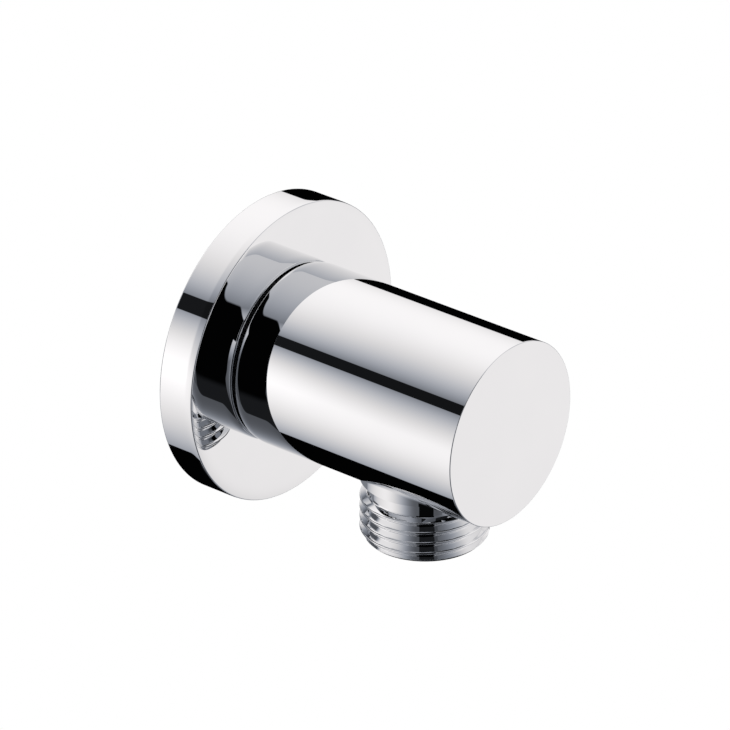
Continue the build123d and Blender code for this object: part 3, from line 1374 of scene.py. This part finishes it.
    def spoke_patches(self, index: int) -> list[Patch]:
        """Top, underside and two sides of one spoke, straight from the hub's wall to the ring's.

        Args:
            index: which spoke.

        Returns:
            Its four grids.
        """
        turn = TAU * index / self.spoke_count
        cosine = math.cos(turn)
        sine = math.sin(turn)
        width = self.spoke_width()
        ends = (self.hub_radius, self.cage_inner)
        length = np.stack([np.sqrt(radius**2 - width**2) for radius in ends])
        x = length * cosine - width * sine
        y = length * sine + width * cosine
        faces = [
            flat(OUTLET, x, y, self.spoke_top, 1.0),
            flat(OUTLET, x, y, self.cage_bottom, -1.0),
        ]
        height = np.array([[self.cage_bottom], [self.spoke_top]])
        for column, side in ((0, -1.0), (-1, 1.0)):
            points = OUTLET.place(x[:, column][None, :], y[:, column][None, :], height)
            aim = OUTLET.aim(-side * sine, side * cosine, 0.0)
            faces.append(Patch(points, np.broadcast_to(aim, points.shape)))
        return faces

    def build_cage(self) -> bpy.types.Object:
        """Outlet half: a ring with the guide hub on spokes.

        Returns:
            The cage.
        """
        ring_outline = [
            Corner(self.cage_inner, self.cage_bottom),
            Corner(self.radius - self.cage_chamfer, self.cage_bottom),
            Corner(self.radius, self.cage_bottom + self.cage_chamfer),
            Corner(self.radius, self.skirt_top),
            Corner(self.socket_radius, self.skirt_top),
            Corner(self.socket_radius, self.sleeve_bottom),
            Corner(self.cage_inner, self.sleeve_bottom),
            Corner(self.cage_inner, self.spoke_top),
        ]
        hub_outline = [
            Corner(self.hub_radius, self.spoke_top),
            Corner(self.hub_radius, self.hub_top(), self.edge),
            Corner(self.hub_bore, self.hub_top(), self.edge),
            Corner(self.hub_bore, self.cage_bottom, self.edge),
            Corner(self.hub_radius, self.cage_bottom),
        ]
        patches = lathe(OUTLET, ring_outline, self.spoked_angles(self.cage_inner))
        patches += lathe(OUTLET, hub_outline, self.spoked_angles(self.hub_radius))
        for index in range(self.spoke_count):
            patches += self.spoke_patches(index)
            for radius, inside in ((self.cage_inner, True), (self.hub_radius, False)):
                angles = self.gap_angles(radius, index)
                gap = drum(OUTLET, radius, self.cage_bottom, self.spoke_top, angles, inside=inside)
                patches.append(gap)
        return fit(Shell("valve_guide_cage", patches), WHITE_ACETAL, "valve_cage", Body.ELBOW)

    def build_poppet(self) -> bpy.types.Object:
        """Moving plug: streamlined nose, groove for its ring, round head and guide stem.

        Returns:
            The plug.
        """
        groove_half = self.seal_radius + self.ring_room
        groove_top = self.seal_middle() + groove_half
        groove_bottom = self.seal_middle() - groove_half
        groove_floor = self.passage_radius - groove_half
        head = self.cage_inner - self.flow_gap
        nose = self.passage_radius - self.nose_gap
        nose_base = groove_top + self.nose_land
        stem_end = self.hub_top() - self.guided
        outline = [
            Corner(0.0, stem_end),
            Corner(self.stem_radius, stem_end, self.edge),
            Corner(self.stem_radius, self.head_bottom(), self.edge),
            Corner(head, self.head_bottom(), self.edge),
            Corner(head, groove_bottom, self.edge),
            Corner(groove_floor, groove_bottom),
            Corner(groove_floor, groove_top),
            Corner(nose, groove_top, self.edge),
            Corner(nose, nose_base, self.nose_round),
            Corner(self.nose_tip, nose_base + self.nose_height, self.nose_round),
            Corner(0.0, nose_base + self.nose_height),
        ]
        shell = Shell("valve_plug", lathe(OUTLET, outline, circle(self.columns)))
        return fit(shell, BLUE_ACETAL, "valve_poppet", Body.POPPET)

    def build_seal(self) -> bpy.types.Object:
        """Rubber ring on the plug.

        Returns:
            The ring.
        """
        low = (self.passage_radius - self.seal_radius, self.seal_middle() - self.seal_radius)
        high = (self.passage_radius + self.seal_radius, self.seal_middle() + self.seal_radius)
        outline = hoop(low, high, self.edge, self.ring_round)
        shell = Shell("rubber_plug_ring", lathe(OUTLET, outline, circle(self.columns), True))
        return fit(shell, RUBBER, "poppet_seal", Body.POPPET)

    def build_spring(self) -> bpy.types.Object:
        """Round wire coiled about the guide hub, at its length with the plug shut.

        The wire's middle is (coil * cos, coil * sin, even rise), with a circle across the wire round it.

        Returns:
            The spring.
        """
        low = self.spoke_top + self.spring_room + self.wire_radius
        high = self.head_bottom() - self.spring_room - self.wire_radius
        steps = self.coil_turns * self.coil_steps
        share = np.linspace(0.0, 1.0, steps + 1)[:, None]
        angle = TAU * self.coil_turns * share
        around = circle(self.wire_sides)[None, :]
        slope = (high - low) / (TAU * self.coil_turns)
        size = math.hypot(self.coil_radius, slope)
        rise = self.coil_radius / size
        back = slope / size
        x = np.cos(around) * np.cos(angle) + np.sin(around) * back * np.sin(angle)
        y = np.cos(around) * np.sin(angle) - np.sin(around) * back * np.cos(angle)
        z = np.sin(around) * rise + 0.0 * angle
        middle = OUTLET.place_round(self.coil_radius, angle, low + (high - low) * share)
        normals = OUTLET.aim(x, y, z)
        points = middle + self.wire_radius * normals
        patches = [Patch(points, normals)]
        for end, way in ((0, -1.0), (-1, 1.0)):
            turn = angle[end, 0]
            aim = OUTLET.aim(-way * rise * math.sin(turn), way * rise * math.cos(turn), way * back)
            disc = np.stack([points[end], np.broadcast_to(middle[end], points[end].shape)])
            patches.append(Patch(disc, np.broadcast_to(aim, disc.shape)))
        spring = fit(Shell("valve_coil_spring", patches), SPRING_STEEL, "valve_spring", Body.ELBOW)
        self.map_wire(spring)
        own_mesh(spring)
        return spring

    def map_wire(self, spring: bpy.types.Object) -> None:
        """Give the wire a flat map: length along it and distance out from its middle, in millimetres.

        The length is the coil's radius times the angle round the coil, and starts again with every turn.

        Args:
            spring: the spring's object.
        """
        mesh = spring.data
        count = len(mesh.loops)
        corner = np.empty(count, dtype=np.int32)
        mesh.loops.foreach_get("vertex_index", corner)
        spots = np.empty(3 * len(mesh.vertices), dtype=np.float32)
        mesh.vertices.foreach_get("co", spots)
        place = spots.reshape(-1, 3)[corner] - np.array(OUTLET.origin)
        outward = np.hypot(place[:, 0], place[:, 1]) - self.coil_radius
        length = self.coil_radius * np.arctan2(place[:, 1], place[:, 0])
        flat = np.stack([length, outward], axis=1) / MM
        layer = mesh.uv_layers.new(name=WIRE_MAP)
        layer.data.foreach_set("uv", flat.astype(np.float32).ravel())

    def build(self) -> list[bpy.types.Object]:
        """Build and dress every piece of the cartridge.

        Returns:
            The pieces in order.
        """
        return [
            self.build_sleeve(),
            self.build_bore_ring(),
            self.build_cage(),
            self.build_poppet(),
            self.build_seal(),
            self.build_spring(),
        ]


# Studio


@dataclass(frozen=True)
class Sight:
    """Direction in which the tent is looked at, as the world's nodes work it out."""

    wiring: Wiring
    direction: Socket
    across: Socket  # share of straight across
    back: Socket  # share of straight back
    up: Socket  # share of straight up
    turn: Socket  # degrees round the inlet axis, from +X up over the top
    heading: Socket  # degrees of azimuth

    @classmethod
    def of_world(cls, wiring: Wiring) -> "Sight":
        """Add the nodes that split a world's direction into its parts and angles.

        Args:
            wiring: the world's nodes.

        Returns:
            The direction.
        """
        direction = wiring.node("ShaderNodeTexCoord").outputs["Generated"]
        across, back, up = wiring.node("ShaderNodeSeparateXYZ", {"Vector": direction}).outputs
        turn = wiring.math("DEGREES", wiring.math("ARCTAN2", up, across))
        azimuth = wiring.math("ADD", wiring.math("ARCTAN2", back, across), TAU)
        heading = wiring.math("DEGREES", wiring.math("MODULO", azimuth, TAU))
        return cls(wiring, direction, across, back, up, turn, heading)


@dataclass(frozen=True)
class Panel:
    """Wall of the light tent, which dims evenly away from its crown.

    Angles are degrees round the inlet axis, from +X up over the top. The level falls from the crown with
    a power of the distance from it, to the levels at the panel's two edges.
    """

    start: float
    crown: float
    end: float
    start_level: float
    crown_level: float
    end_level: float
    power: float = 2.0
    edge: float = 0.5  # degrees over which its light is lost at either edge

    def light(self, sight: Sight) -> Socket:
        """Brightness of the panel, and none beyond its edges.

        Args:
            sight: direction looked in.

        Returns:
            The brightness.
        """
        wiring = sight.wiring
        away = wiring.degrees_from(sight.turn, self.crown)
        level: Value = self.crown_level
        masks = []
        for span, edge_level in (
            (self.start - self.crown, self.start_level),
            (self.end - self.crown, self.end_level),
        ):
            share = wiring.math("MAXIMUM", wiring.math("DIVIDE", away, span), 0.0)
            fall = wiring.product(wiring.math("POWER", share, self.power), self.crown_level - edge_level)
            level = wiring.math("SUBTRACT", level, fall)
            masks.append(wiring.smooth(share, 1.0 + self.edge / abs(span), 1.0))
        return wiring.product(wiring.math("MAXIMUM", level, 0.0), wiring.product(*masks))


@dataclass(frozen=True)
class Card:
    """Card hung in the tent, with its limits as shares of straight across, back and up."""

    across: Limits
    back: Limits
    up: Limits
    level: float

    def hang(self, sight: Sight, light: Socket) -> Socket:
        """Tent's brightness with the card in front of it.

        Args:
            sight: direction looked in.
            light: brightness of the tent.

        Returns:
            The brightness.
        """
        wiring = sight.wiring
        share = wiring.product(
            wiring.band(sight.across, self.across),
            wiring.band(sight.back, self.back),
            wiring.band(sight.up, self.up),
        )
        return wiring.mix(Blend.NUMBER, share, light, self.level)


@dataclass(frozen=True)
class LightTent:
    """White tent round the fitting, open for the camera and its stand.

    Its half towards the wall and its half towards the room have panels of their own. Levels are shares of
    white. Headings are degrees of azimuth, heights are shares of straight up, and depths are shares of
    straight back.
    """

    soft_level: float = 0.7  # of the tent, for pieces that are not shiny
    dark: float = 0.0006  # between the tent's panels
    shade_tint: Vector3 = (0.946, 1.0, 1.13)
    light_tint: Vector3 = (1.025, 1.0, 1.0)
    tint_levels: tuple[float, float] = (0.2, 0.85)
    slit_start_headings: tuple[float, float] = (207.0, 202.0)
    slit_start_heights: tuple[float, float] = (-0.42, -0.2)
    slit_end_headings: tuple[float, float] = (235.5, 241.0)
    slit_end_heights: tuple[float, float] = (-0.5, -0.76)
    slit_levels: tuple[float, float] = (0.012, 0.0008)
    slit_level_heights: tuple[float, float] = (-0.58, -0.46)
    window_heading: float = 184.0
    window_foot_height: float = 0.36
    window_top_heights: tuple[float, float] = (0.723, 0.1)
    window_top_headings: tuple[float, float] = (266.0, 312.0)  # between which its top comes down
    window_level: float = 0.0008
    opening_edge: tuple[float, float] = (0.6, 0.01)  # softness in heading and in height
    beside_heading: float = 221.0
    beside_reach: tuple[float, float] = (18.0, 80.0)  # degrees from that heading
    beside_level: float = 0.13
    beside_heights: tuple[float, float] = (-0.3, 0.72)
    pool_azimuth: float = math.radians(219.0)
    pool_elevation: float = math.radians(-60.0)
    pool_reach: tuple[float, float] = (0.25, 1.0)  # cosines of the angle from its middle
    pool_level: float = 0.1
    pool_depths: tuple[float, float] = (-0.35, 0.1)  # between which it ends
    front_level: float = 0.95
    front_depths: tuple[float, float] = (-0.6, -0.75)
    front_heights: Limits = (-0.3, -0.1, 0.45, 0.6)
    back_level: float = 0.22
    back_depths: tuple[float, float] = (0.64, 0.74)
    down_level: float = 0.09
    down_heights: tuple[float, float] = (-0.84, -0.92)
    depth_blend: float = 0.25  # depth on either side over which the tent's halves blend
    gap_middle: float = 150.0  # degrees round the inlet axis
    gap_above: tuple[float, float] = (-90.0, 0.0)  # degrees from its middle
    gap_below: tuple[float, float] = (70.0, 10.0)  # degrees from its middle
    gap_depths: tuple[float, float] = (0.55, 0.578)
    gap_levels: tuple[float, float] = (0.95, 1.25)

    def wall_side(self) -> list[Panel]:
        """Panels of the half of the tent towards the wall.

        Each row gives start, crown and end, their three levels, and the power.

        Returns:
            The panels.
        """
        return [
            Panel(11.3, 48.0, 133.9, 0.84, 1.04, 0.22, 2.3),
            Panel(133.0, 140.0, 147.5, 0.008, 0.0081, 0.008),
            Panel(146.8, 192.0, 193.0, 0.28, 1.06, 1.06, 1.45),
            Panel(191.0, 192.0, 258.2, 1.06, 1.06, 0.38, 1.6),
        ]

    def room_side(self) -> list[Panel]:
        """Panels of the half of the tent towards the room.

        Each row gives start, crown and end, their three levels, and the power.

        Returns:
            The panels.
        """
        return [
            Panel(-64.0, -50.0, 39.0, 0.92, 0.93, 0.45),
            Panel(37.5, 41.0, 120.0, 0.655, 0.655, 0.22),
            Panel(119.0, 170.0, 243.0, 0.22, 0.95, 0.5),
            Panel(242.0, 290.0, 298.0, 0.85, 0.92, 0.92),
        ]

    def cards(self) -> list[Card]:
        """Cards that shape the light on the nipple: a dark one for its left, two grey for its right.

        Each row gives the limits across, back and up, and the level.

        Returns:
            The cards.
        """
        return [
            Card((-0.55, -0.4, 0.1, 0.25), (0.68, 0.74, 1.0, 1.1), (-0.46, -0.42, -0.1, 0.0), 0.1),
            Card((0.5, 0.6, 1.0, 1.1), (0.25, 0.35, 0.515, 0.53), (-0.42, -0.36, -0.18, -0.1), 0.25),
            Card((0.3, 0.4, 1.0, 1.1), (0.62, 0.68, 1.0, 1.1), (-0.42, -0.36, -0.18, -0.1), 0.3),
        ]

    def walls(self, sight: Sight, panels: list[Panel]) -> Socket:
        """Brightness round the tent, from panels with dark gaps between them.

        Args:
            sight: direction looked in.
            panels: the panels.

        Returns:
            The brightness.
        """
        level: Value = self.dark
        for panel in panels:
            level = sight.wiring.math("MAXIMUM", level, panel.light(sight))
        return level

    def glow(self, sight: Sight) -> Socket:
        """Share of light beside the gap between panels, which grows towards the wall.

        Args:
            sight: direction looked in.

        Returns:
            The share.
        """
        wiring = sight.wiring
        away = wiring.degrees_from(sight.turn, self.gap_middle)
        above = wiring.smooth(away, *self.gap_above)
        near = wiring.product(above, wiring.smooth(away, *self.gap_below))
        gain = wiring.smooth(sight.back, *self.gap_depths, *self.gap_levels)
        return wiring.mix(Blend.NUMBER, near, 1.0, gain)

    def shade(self, sight: Sight) -> Socket:
        """Share of light left near the opening: less beside it, and least in a pool at the stand's foot.

        Args:
            sight: direction looked in.

        Returns:
            The share.
        """
        wiring = sight.wiring
        level = math.cos(self.pool_elevation)
        pool = (
            level * math.cos(self.pool_azimuth),
            level * math.sin(self.pool_azimuth),
            math.sin(self.pool_elevation),
        )
        near = wiring.node("ShaderNodeVectorMath", {0: sight.direction, 1: pool}, operation="DOT_PRODUCT")
        under = wiring.smooth(near.outputs["Value"], *self.pool_reach, 1.0, self.pool_level)
        under = wiring.math("MAXIMUM", under, wiring.smooth(sight.back, *self.pool_depths))
        away = wiring.math("ABSOLUTE", wiring.math("SUBTRACT", sight.heading, self.beside_heading))
        fade = wiring.smooth(away, *self.beside_reach, self.beside_level, 1.0)
        beside = wiring.math("MAXIMUM", fade, wiring.smooth(sight.up, *self.beside_heights))
        return wiring.math("MINIMUM", under, beside)

    def opened(self, sight: Sight, light: Socket) -> Socket:
        """Cut the tent's opening: a window round the camera, over a slit for its stand.

        Args:
            sight: direction looked in.
            light: brightness of the tent.

        Returns:
            The brightness with the opening cut out.
        """
        wiring = sight.wiring
        heading = sight.heading
        height = sight.up
        side, rim = self.opening_edge
        slit_start = wiring.smooth(height, *self.slit_start_heights, *self.slit_start_headings)
        slit_end = wiring.smooth(height, *self.slit_end_heights, *self.slit_end_headings)
        slit_level = wiring.smooth(height, *self.slit_level_heights, *self.slit_levels)
        top = wiring.smooth(heading, *self.window_top_headings, *self.window_top_heights)
        under_top = wiring.smooth(wiring.math("SUBTRACT", height, top), rim, -rim)
        after_start = wiring.smooth(wiring.math("SUBTRACT", heading, slit_start), -side, side)
        before_end = wiring.smooth(wiring.math("SUBTRACT", heading, slit_end), side, -side)
        slit = wiring.product(after_start, before_end, under_top)
        inside = wiring.smooth(heading, self.window_heading - side, self.window_heading + side)
        above_foot = wiring.smooth(height, self.window_foot_height - rim, self.window_foot_height + rim)
        window = wiring.product(inside, above_foot, under_top)
        light = wiring.mix(Blend.NUMBER, slit, light, slit_level)
        return wiring.mix(Blend.NUMBER, window, light, self.window_level)

    def light(self, sight: Sight) -> Socket:
        """Brightness of the whole tent.

        Args:
            sight: direction looked in.

        Returns:
            The brightness.
        """
        wiring = sight.wiring
        behind = wiring.product(self.walls(sight, self.wall_side()), self.glow(sight))
        before = self.walls(sight, self.room_side())
        depth = wiring.smooth(sight.back, -self.depth_blend, self.depth_blend)
        walls = wiring.mix(Blend.NUMBER, depth, before, behind)
        front = wiring.smooth(sight.back, *self.front_depths, 0.0, self.front_level)
        front = wiring.product(front, wiring.band(sight.up, self.front_heights))
        light = wiring.product(wiring.math("MAXIMUM", walls, front), self.shade(sight))
        back = wiring.smooth(sight.back, *self.back_depths, 0.0, self.back_level)
        down = wiring.smooth(sight.up, *self.down_heights, 0.0, self.down_level)
        light = wiring.math("MAXIMUM", light, wiring.math("MAXIMUM", back, down))
        for card in self.cards():
            light = card.hang(sight, light)
        return self.opened(sight, light)

    def build(self) -> None:
        """World in which shiny pieces see the tent, others its soft light, and the camera plain white."""
        world = bpy.data.worlds.new("light_tent")
        wiring = Wiring(world)
        path = wiring.node("ShaderNodeLightPath").outputs
        plain = wiring.seen_plainly(path)
        tent = self.light(Sight.of_world(wiring))
        level = wiring.mix(Blend.NUMBER, path["Is Glossy Ray"], self.soft_level, tent)
        bright = wiring.smooth(level, *self.tint_levels)
        tint = wiring.mix(Blend.COLOR, bright, (*self.shade_tint, 1.0), (*self.light_tint, 1.0))
        inputs = {
            "Color": wiring.mix(Blend.COLOR, plain, tint, WHITE),
            "Strength": wiring.mix(Blend.NUMBER, plain, level, 1.0),
        }
        background = wiring.node("ShaderNodeBackground", inputs)
        wiring.node("ShaderNodeOutputWorld", {"Surface": background.outputs["Background"]})
        bpy.context.scene.world = world


@dataclass(frozen=True)
class Studio:
    """Light tent, soft lamp, camera, and a floor well below the fitting."""

    camera_place: Vector3 = (-0.6924, -0.5842, 0.4759)
    camera_azimuth: float = math.radians(-50.892)
    camera_elevation: float = math.radians(27.952)
    camera_lens: float = 315.38
    camera_sensor: float = 36.0
    camera_clip: tuple[float, float] = (0.01, 50.0)
    lamp_place: Vector3 = (-0.6, -0.5, 0.7)
    lamp_turn: Vector3 = (math.radians(48.0), 0.0, math.radians(-50.0))
    lamp_size: float = 0.8
    lamp_power: float = 4.0
    floor_height: float = -1.2
    floor_size: float = 8.0
    floor_color: Vector3 = (0.9, 0.9, 0.9)

    def build_floor(self) -> None:
        """Plain white floor, well below the fitting."""
        half = self.floor_size / 2.0
        sides = ((-half, -half), (half, -half), (half, half), (-half, half))
        corners = [(x, y, self.floor_height) for x, y in sides]
        mesh = bpy.data.meshes.new("studio_floor")
        mesh.from_pydata(corners, [], [(0, 1, 2, 3)])
        floor = put_in_scene("studio_floor", mesh)
        material = bpy.data.materials.new("studio_floor")
        wiring = Wiring(material)
        plain = wiring.seen_plainly(wiring.node("ShaderNodeLightPath").outputs)
        matt = wiring.node("ShaderNodeBsdfDiffuse", {"Color": (*self.floor_color, 1.0)})
        white = wiring.node("ShaderNodeEmission", {"Color": WHITE, "Strength": 1.0})
        mixed = wiring.node("ShaderNodeMixShader", {0: plain, 1: matt.outputs[0], 2: white.outputs[0]})
        wiring.node("ShaderNodeOutputMaterial", {"Surface": mixed.outputs[0]})
        mesh.materials.append(material)
        floor.visible_glossy = False

    def build_lamp(self) -> None:
        """Broad soft lamp from above the camera's left, for the pieces that are not shiny."""
        lamp = bpy.data.lights.new("soft_lamp", "AREA")
        lamp.size = self.lamp_size
        lamp.energy = self.lamp_power
        holder = put_in_scene("soft_lamp", lamp)
        holder.location = self.lamp_place
        holder.rotation_euler = self.lamp_turn
        holder.visible_glossy = False

    def build_camera(self) -> None:
        """Long lens at the photograph's viewing angle."""
        lens = bpy.data.cameras.new("camera")
        lens.lens = self.camera_lens
        lens.sensor_width = self.camera_sensor
        lens.clip_start, lens.clip_end = self.camera_clip
        camera = put_in_scene("camera", lens)
        camera.location = self.camera_place
        camera.rotation_euler = (math.pi / 2.0 - self.camera_elevation, 0.0, self.camera_azimuth)
        bpy.context.scene.camera = camera

    def build(self) -> None:
        """Set up tent, floor, lamp and camera."""
        bpy.context.scene.view_settings.view_transform = "Standard"
        LightTent().build()
        self.build_floor()
        self.build_lamp()
        self.build_camera()


def main() -> None:
    """Build the fitting piece by piece, report each piece, and set up the studio."""
    logging.basicConfig(level=logging.INFO, format="%(name)s: %(message)s")
    for assembly in (ElbowBody(), WallFlange(), ValveCartridge()):
        for piece in assembly.build():
            finish = piece.data.materials[0].name
            LOG.info("%s: %d faces in %s", piece.name, len(piece.data.polygons), finish)
    Studio().build()


if __name__ == "__main__":
    main()
